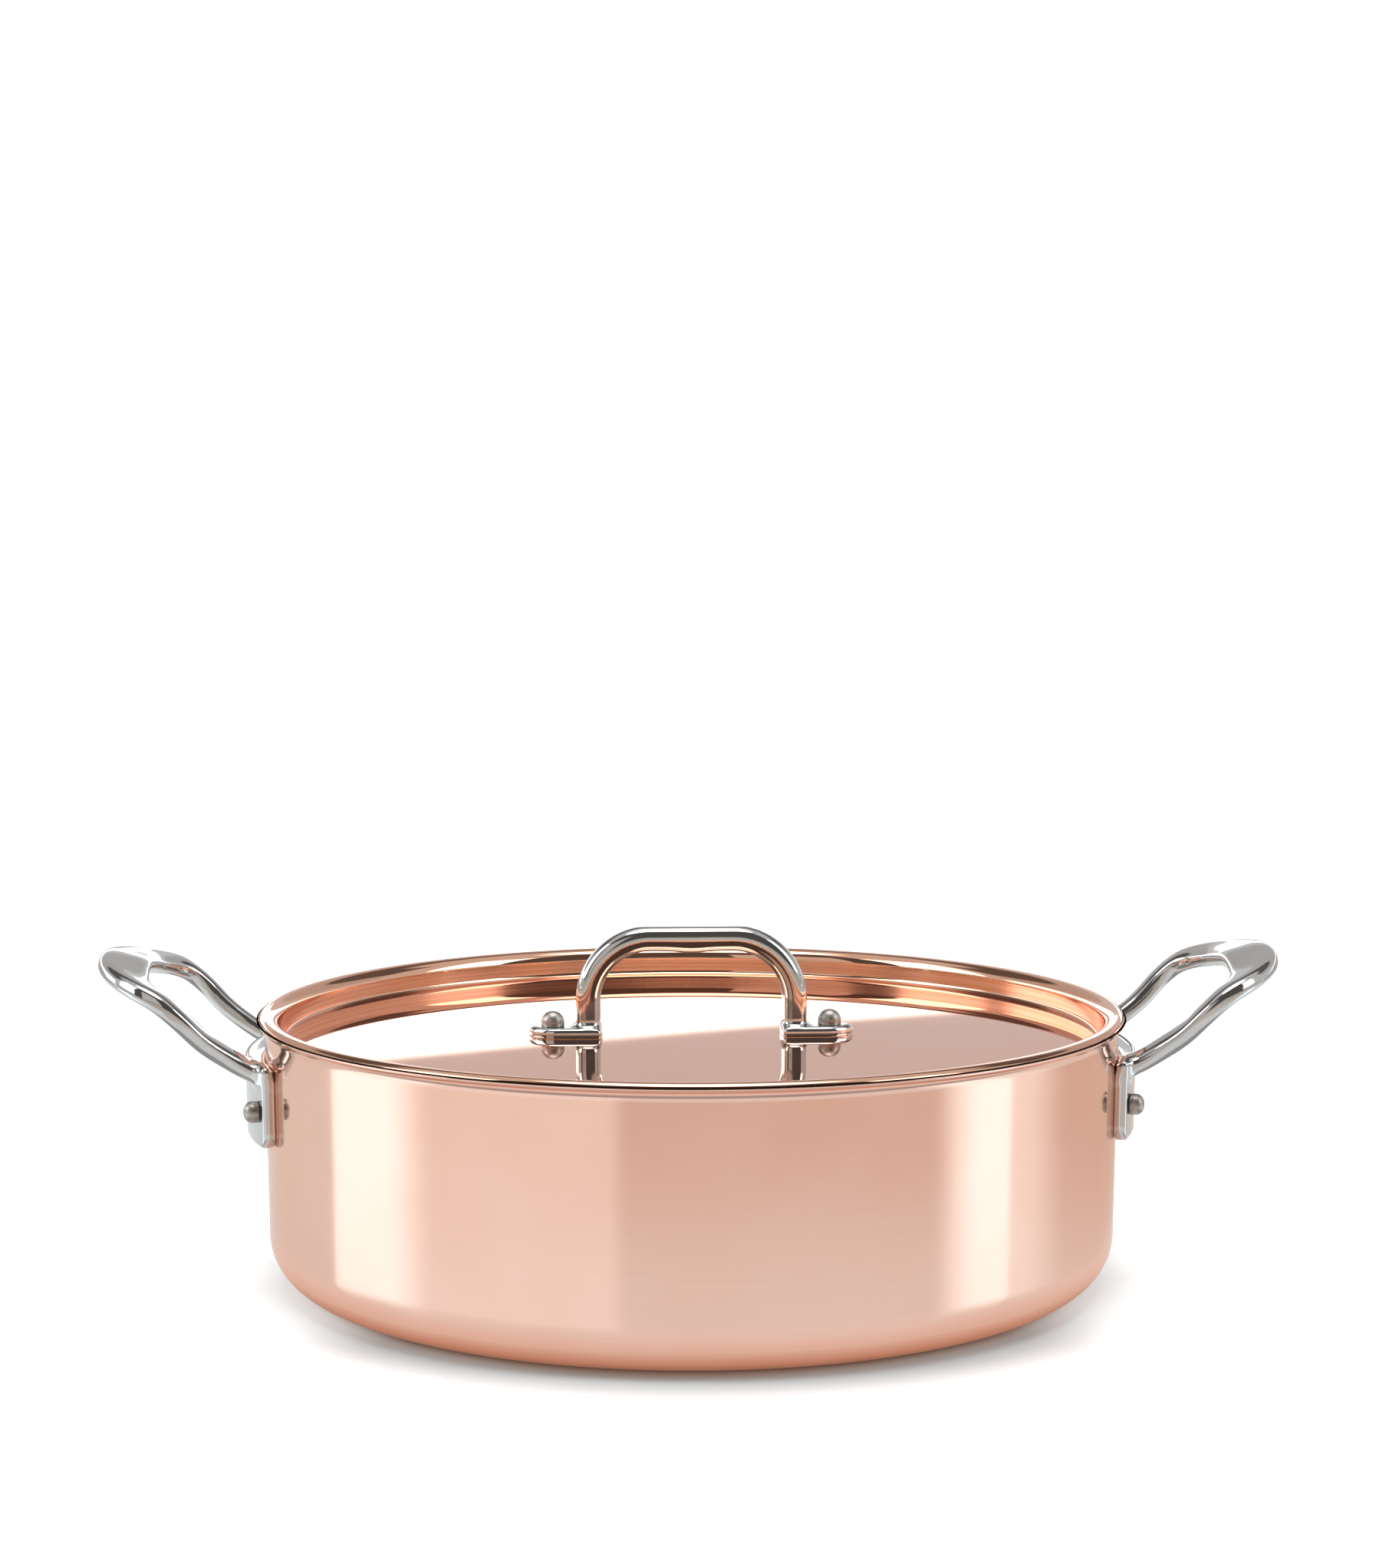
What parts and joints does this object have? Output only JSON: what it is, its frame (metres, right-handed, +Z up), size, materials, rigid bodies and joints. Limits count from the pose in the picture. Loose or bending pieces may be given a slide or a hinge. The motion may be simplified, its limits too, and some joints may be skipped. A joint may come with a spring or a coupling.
{
  "type": "casserole pan with lid",
  "caption": "Shallow round copper casserole pan with a cast loop handle on each side and a drop-in metal lid that lifts off by a riveted bail handle.",
  "frame": {"origin": "centre of the pan's flat underside", "axes": "+Z up, +X towards the right side handle, -Y towards the front"},
  "size_m": [0.386, 0.2848, 0.1157],
  "materials": {
    "polished_copper": "mirror-polished copper, faintly brushed on the pan's wall",
    "aluminium_core": "plain, seen only as a line on the rim",
    "steel_lining": "satin stainless steel",
    "cast_steel": "mirror-polished cast stainless steel",
    "rivet_steel": "dull, warm grey, lightly turned"
  },
  "bodies": {
    "pan": {"pan_copper_shell": "polished_copper", "pan_aluminium_core": "aluminium_core", "pan_steel_lining": "steel_lining", "left_side_handle": "cast_steel", "right_side_handle": "cast_steel", "left_handle_front_rivet": "rivet_steel", "left_handle_rear_rivet": "rivet_steel", "right_handle_front_rivet": "rivet_steel", "right_handle_rear_rivet": "rivet_steel"},
    "lid": {"lid_copper_skin": "polished_copper", "lid_steel_lining": "steel_lining", "lid_handle": "cast_steel", "lid_handle_left_rivet": "rivet_steel", "lid_handle_right_rivet": "rivet_steel"}
  },
  "joints": [
    {"name": "lid_lift", "type": "slide", "parent": "pan", "child": "lid", "axis": [0, 0, 1], "range_m": [0, 0.12]}
  ]
}
